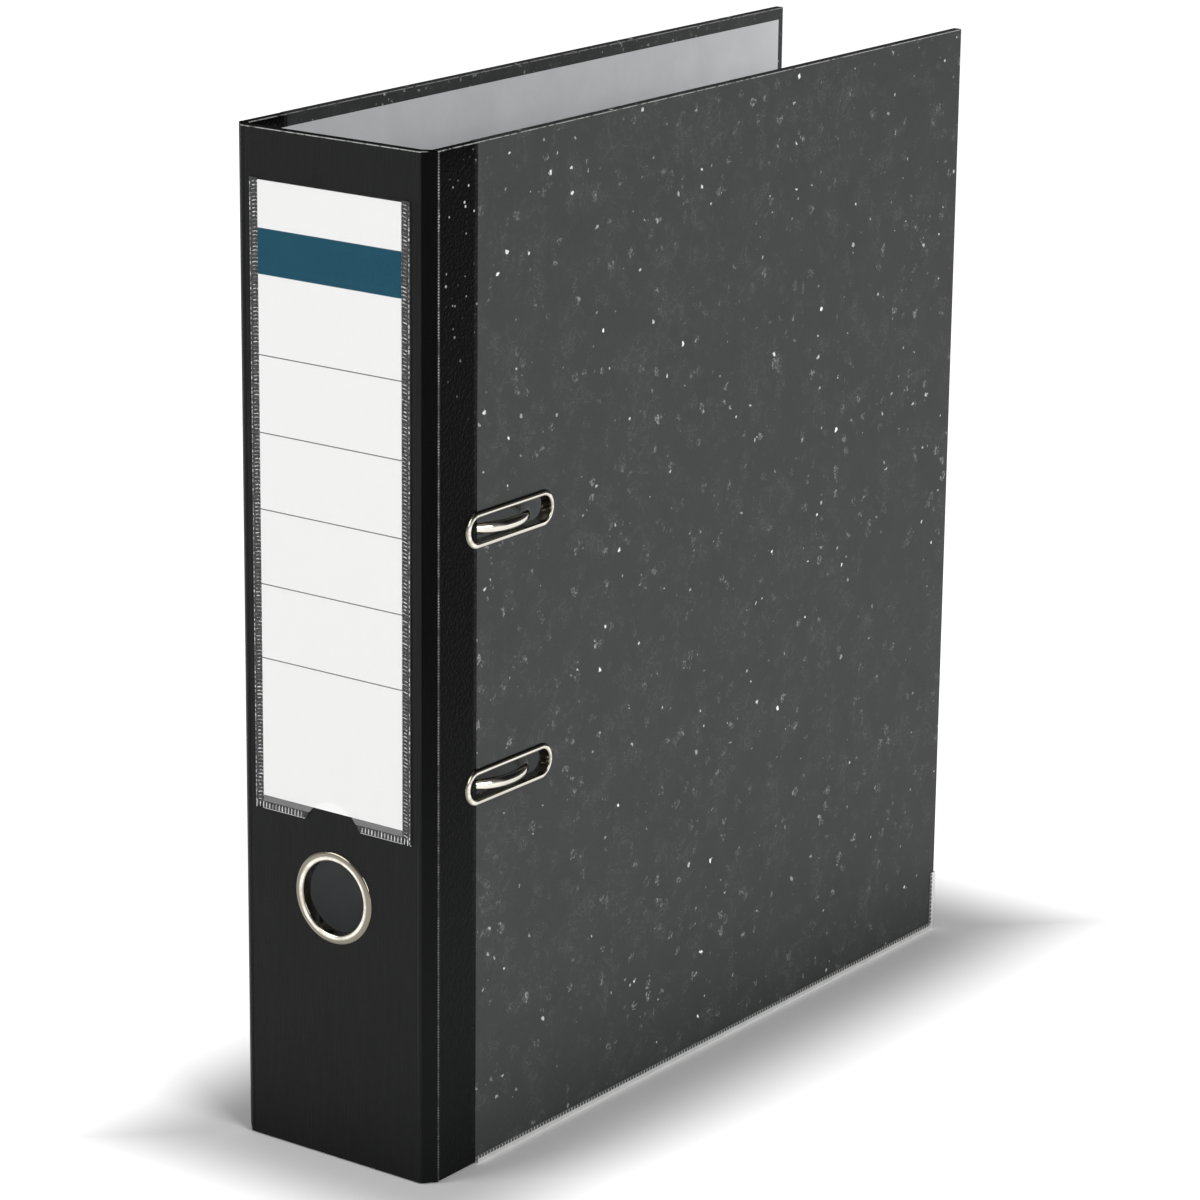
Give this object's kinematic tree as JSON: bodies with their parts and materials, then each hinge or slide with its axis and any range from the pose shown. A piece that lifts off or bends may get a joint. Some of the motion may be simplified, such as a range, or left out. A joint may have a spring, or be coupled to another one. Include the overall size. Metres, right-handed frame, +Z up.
{
  "type": "lever arch file",
  "caption": "Lever arch file for A4 sheets: marbled board covers, cloth spine with label pocket and finger ring, slots for the arches, steel edge rails and a lever mechanism inside.",
  "frame": {"origin": "middle of the base, level with the bottom of the steel edge rails it stands on", "axes": "+X out of the front cover, +Y from the spine to the fore edge, +Z up"},
  "size_m": [0.0783, 0.285, 0.318],
  "materials": {
    "greyboard": "matt",
    "marbled_paper": "satin",
    "black_cloth": "satin",
    "lining_paper": "matt",
    "rail_steel": "satin",
    "nickel": "polished",
    "plate_steel": "satin",
    "clear_film": "gloss",
    "label_paper": "matt"
  },
  "bodies": {
    "back_cover": {"back_board": "greyboard", "back_lining": "lining_paper", "back_cover_strip": "black_cloth", "back_cover_paper": "marbled_paper", "back_edge_rail": "rail_steel", "mechanism_base_plate": "plate_steel", "base_plate_rivets": "nickel", "filing_post_lower": "nickel", "filing_post_upper": "nickel", "arch_bearing_lower": "plate_steel", "arch_bearing_upper": "plate_steel", "lever_bracket": "plate_steel", "lever_axle": "plate_steel"},
    "spine": {"spine_board": "greyboard", "spine_lining": "lining_paper", "spine_wrap": "black_cloth", "finger_ring": "nickel", "finger_ring_washer": "nickel", "label_pocket": "clear_film"},
    "front_cover": {"front_board": "greyboard", "front_lining": "lining_paper", "front_cover_strip": "black_cloth", "front_cover_paper": "marbled_paper", "front_edge_rail": "rail_steel", "slot_eyelet_lower": "nickel", "slot_eyelet_upper": "nickel", "slot_washer_lower": "nickel", "slot_washer_upper": "nickel"},
    "label": {"label_card": "label_paper"},
    "arches": {"arch_bow": "nickel"},
    "lever": {"lever_arm": "nickel", "roller_pin": "plate_steel"},
    "roller": {"lever_roller": "plate_steel"},
    "compressor": {"compressor_bar": "nickel", "compressor_spring": "plate_steel", "compressor_rivet": "plate_steel"}
  },
  "joints": [
    {"name": "spine_hinge", "type": "hinge", "parent": "back_cover", "child": "spine", "pos_m": [-0.0353, -0.1401, 0.159], "axis": [0, 0, -1], "range_deg": [0, 90]},
    {"name": "front_cover_hinge", "type": "hinge", "parent": "spine", "child": "front_cover", "pos_m": [0.0353, -0.1401, 0.159], "axis": [0, 0, -1], "range_deg": [0, 90]},
    {"name": "label_slide", "type": "slide", "parent": "spine", "child": "label", "axis": [0, 0, 1], "range_m": [0, 0.19]},
    {"name": "arch_swing", "type": "hinge", "parent": "back_cover", "child": "arches", "pos_m": [-0.0294, -0.123, 0.1615], "axis": [0, 0, -1], "range_deg": [0, 40]},
    {"name": "lever_lift", "type": "hinge", "parent": "back_cover", "child": "lever", "pos_m": [-0.0241, -0.111, 0.176], "axis": [0, -1, 0], "range_deg": [0, 90]},
    {"name": "roller_spin", "type": "hinge", "parent": "lever", "child": "roller", "pos_m": [-0.0241, -0.111, 0.162], "axis": [0, -1, 0], "continuous": true},
    {"name": "compressor_slide", "type": "slide", "parent": "back_cover", "child": "compressor", "axis": [1, 0, 0], "range_m": [0, 0.036]}
  ],
  "couplings": [
    {"joint": "lever_lift", "follows": "spine_hinge", "ratio": 1},
    {"joint": "arch_swing", "follows": "spine_hinge", "ratio": 0.44444}
  ]
}
